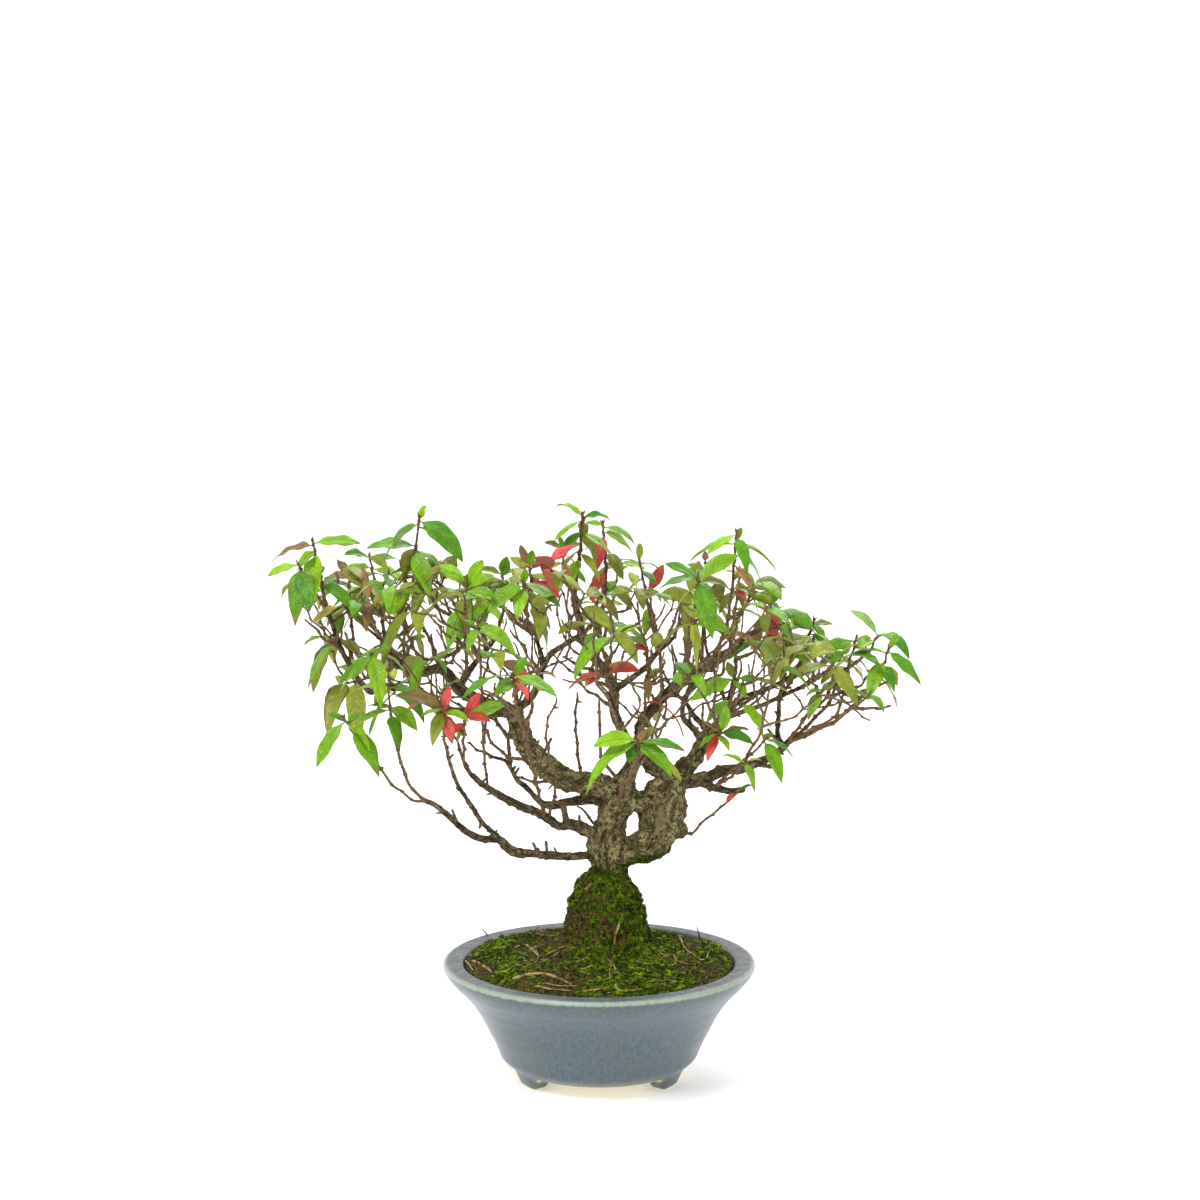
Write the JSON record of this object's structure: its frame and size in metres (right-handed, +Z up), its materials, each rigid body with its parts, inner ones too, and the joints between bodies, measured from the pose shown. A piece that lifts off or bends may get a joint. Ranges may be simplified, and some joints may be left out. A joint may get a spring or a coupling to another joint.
{
  "type": "star jasmine bonsai",
  "caption": "Small star jasmine bonsai: crooked trunk, twiggy arms and green, bronze and red leaves, in a round flared blue-grey glazed pot with a mossy mound.",
  "frame": {"origin": "middle of the whole object's box seen from above, on the plane the pot's feet stand on", "axes": "+Z up; +X to the viewer's right of the tree's front, along its longest extent; -Y is the front that the picture shows"},
  "size_m": [0.3422, 0.243, 0.318],
  "materials": {
    "glaze": "glossy blue-grey glaze, paler at the lip, bare clay underneath",
    "net": "matt black plastic net",
    "soil": "moist dark earth under living moss, matt",
    "bark": "rough grey-brown bark, matt, moss on the trunk's underside",
    "leaf": "glossy living leaf, green to olive, bronze or coral red by age"
  },
  "bodies": {
    "root": {"pot": "glaze", "drain_screen": "net", "soil": "soil", "tree_wood": "bark", "shoot_far_left": "leaf", "shoot_left_edge": "leaf", "shoot_left_top_a": "leaf", "shoot_left_top_b": "leaf", "shoot_left_crown": "leaf", "shoot_left_small": "leaf", "shoot_left_tendril": "leaf", "shoot_left_front": "leaf", "shoot_left_low_a": "leaf", "shoot_left_low_b": "leaf", "shoot_left_olive": "leaf", "shoot_left_dot": "leaf", "shoot_red_left": "leaf", "shoot_red_middle": "leaf", "shoot_light_top": "leaf", "shoot_front_star": "leaf", "shoot_back_tall": "leaf", "shoot_front_pair": "leaf", "shoot_upright_fan": "leaf", "shoot_behind_top": "leaf", "shoot_front_thin": "leaf", "shoot_summit": "leaf", "shoot_summit_right": "leaf", "shoot_brown_tip": "leaf", "shoot_deep_middle": "leaf", "shoot_deep_right": "leaf", "shoot_big_front": "leaf", "shoot_right_bud": "leaf", "shoot_right_crown": "leaf", "shoot_right_olive": "leaf", "shoot_right_red": "leaf", "shoot_right_dark": "leaf", "shoot_right_mid": "leaf", "shoot_right_lobe": "leaf", "shoot_right_thin": "leaf", "shoot_right_faint": "leaf", "shoot_right_hang": "leaf", "shoot_far_right": "leaf", "shoot_right_under": "leaf", "shoot_right_low": "leaf", "shoot_front_low": "leaf", "shoot_right_star": "leaf", "shoot_right_pair": "leaf", "shoot_right_wide": "leaf", "shoot_right_drop": "leaf", "shoot_spur_tip": "leaf", "shoot_spur_front": "leaf", "shoot_spur_fine": "leaf", "shoot_red_centre": "leaf", "shoot_bronze_leaf": "leaf", "shoot_back_left": "leaf", "shoot_back_middle_left": "leaf", "shoot_back_middle": "leaf", "shoot_back_middle_right": "leaf", "shoot_back_right": "leaf"}
  },
  "joints": []
}
